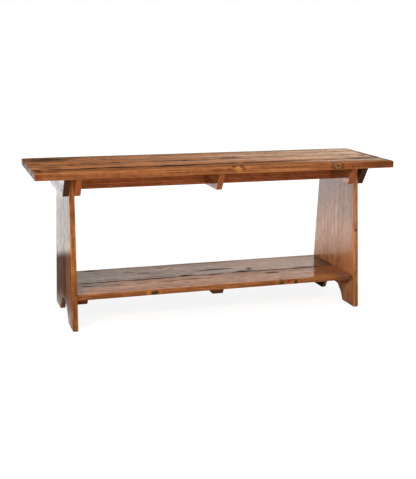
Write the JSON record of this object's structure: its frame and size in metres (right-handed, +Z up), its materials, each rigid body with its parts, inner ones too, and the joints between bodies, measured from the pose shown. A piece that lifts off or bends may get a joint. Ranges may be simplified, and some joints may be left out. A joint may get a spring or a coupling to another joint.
{
  "type": "mudroom bench",
  "caption": "Rustic stained pine bench with a plank seat, tapered bootjack end panels, cleats and a spine under the seat, and a low plank shelf for shoes.",
  "frame": {"origin": "on the floor, under the middle of the seat", "axes": "+X along the bench's length, +Y towards its rear edge, +Z up"},
  "size_m": [1.212, 0.3578, 0.508],
  "materials": {
    "seat_pine": "stained knotty pine, glossy lacquer",
    "panel_pine": "stained pine, glossy lacquer",
    "shelf_pine": "stained knotty pine, glossy lacquer",
    "rail_pine": "stained pine, satin lacquer",
    "screw_steel": "plain zinc",
    "beech_dowel": "bare beech"
  },
  "bodies": {
    "root": {"seat_board_front": "seat_pine", "seat_board_front_middle": "seat_pine", "seat_board_rear_middle": "seat_pine", "seat_board_rear": "seat_pine", "shelf_board_front": "shelf_pine", "shelf_board_rear": "shelf_pine", "left_end_panel_front_board": "panel_pine", "left_end_panel_middle_board": "panel_pine", "left_end_panel_rear_board": "panel_pine", "right_end_panel_front_board": "panel_pine", "right_end_panel_middle_board": "panel_pine", "right_end_panel_rear_board": "panel_pine", "left_outer_cleat": "rail_pine", "left_inner_cleat": "rail_pine", "centre_cleat": "rail_pine", "right_inner_cleat": "rail_pine", "right_outer_cleat": "rail_pine", "seat_spine": "rail_pine", "left_shelf_batten": "rail_pine", "centre_shelf_batten": "rail_pine", "right_shelf_batten": "rail_pine", "seat_screw_left_outer_front": "screw_steel", "seat_screw_left_outer_front_middle": "screw_steel", "seat_screw_left_outer_rear_middle": "screw_steel", "seat_screw_left_outer_rear": "screw_steel", "seat_screw_left_inner_front": "screw_steel", "seat_screw_left_inner_front_middle": "screw_steel", "seat_screw_left_inner_rear_middle": "screw_steel", "seat_screw_left_inner_rear": "screw_steel", "seat_screw_centre_front": "screw_steel", "seat_screw_centre_front_middle": "screw_steel", "seat_screw_centre_rear_middle": "screw_steel", "seat_screw_centre_rear": "screw_steel", "seat_screw_right_inner_front": "screw_steel", "seat_screw_right_inner_front_middle": "screw_steel", "seat_screw_right_inner_rear_middle": "screw_steel", "seat_screw_right_inner_rear": "screw_steel", "seat_screw_right_outer_front": "screw_steel", "seat_screw_right_outer_front_middle": "screw_steel", "seat_screw_right_outer_rear_middle": "screw_steel", "seat_screw_right_outer_rear": "screw_steel", "left_cleat_screw_front": "screw_steel", "left_cleat_screw_rear": "screw_steel", "right_cleat_screw_front": "screw_steel", "right_cleat_screw_rear": "screw_steel", "shelf_screw_left_front": "screw_steel", "shelf_screw_left_rear": "screw_steel", "shelf_screw_centre_front": "screw_steel", "shelf_screw_centre_rear": "screw_steel", "shelf_screw_right_front": "screw_steel", "shelf_screw_right_rear": "screw_steel", "left_batten_screw_front": "screw_steel", "left_batten_screw_rear": "screw_steel", "right_batten_screw_front": "screw_steel", "right_batten_screw_rear": "screw_steel", "left_spine_dowel": "beech_dowel", "right_spine_dowel": "beech_dowel"}
  },
  "joints": []
}
